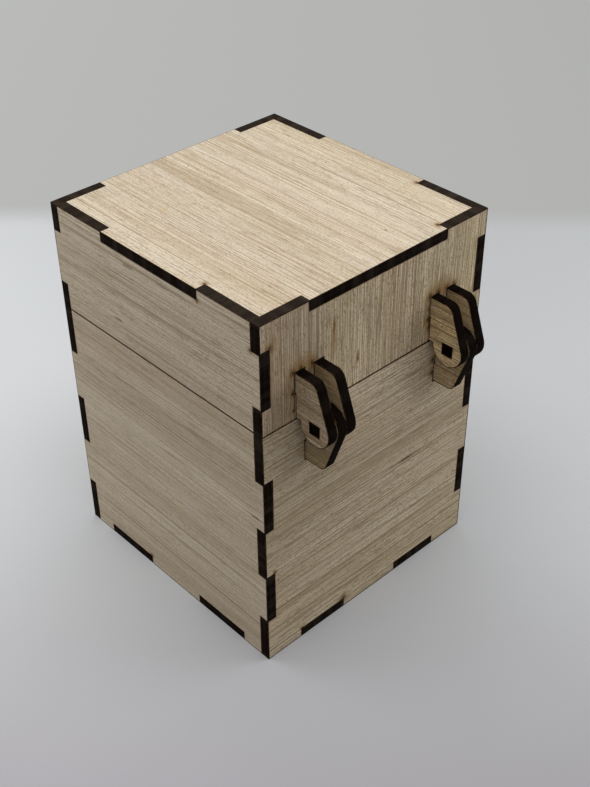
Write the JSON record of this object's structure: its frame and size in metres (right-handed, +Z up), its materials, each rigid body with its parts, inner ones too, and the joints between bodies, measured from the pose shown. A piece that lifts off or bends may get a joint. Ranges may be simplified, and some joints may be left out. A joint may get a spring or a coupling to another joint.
{
  "type": "wooden card deck box",
  "caption": "Small upright box of laser-cut plywood panels joined by fingers, with a lid that turns back on wooden pin hinges.",
  "frame": {"origin": "centre of the base's underside", "axes": "+Z up; the front of the box is -Y and the hinges are on +Y; +X is the box's right as seen from the front"},
  "size_m": [0.0836, 0.098, 0.1163],
  "materials": {
    "ply_panel": "bare straight-grained veneer plywood, laser-charred dark brown edges",
    "ply_hinge": "bare veneer plywood, laser-charred dark brown edges",
    "ply_pin": "plywood bar charred on all sides"
  },
  "bodies": {
    "box": {"base_panel": "ply_panel", "body_front_panel": "ply_panel", "body_back_panel": "ply_panel", "body_left_panel": "ply_panel", "body_right_panel": "ply_panel", "left_hinge_leaf": "ply_hinge", "right_hinge_leaf": "ply_hinge"},
    "lid": {"lid_top_panel": "ply_panel", "lid_front_panel": "ply_panel", "lid_back_panel": "ply_panel", "lid_left_panel": "ply_panel", "lid_right_panel": "ply_panel", "left_hinge_ear_left": "ply_hinge", "left_hinge_ear_right": "ply_hinge", "right_hinge_ear_left": "ply_hinge", "right_hinge_ear_right": "ply_hinge", "left_hinge_pin": "ply_pin", "right_hinge_pin": "ply_pin"}
  },
  "joints": [
    {"name": "lid_hinge", "type": "hinge", "parent": "box", "child": "lid", "pos_m": [0, 0.0497, 0.0827], "axis": [-1, 0, 0], "range_deg": [0, 202]}
  ]
}
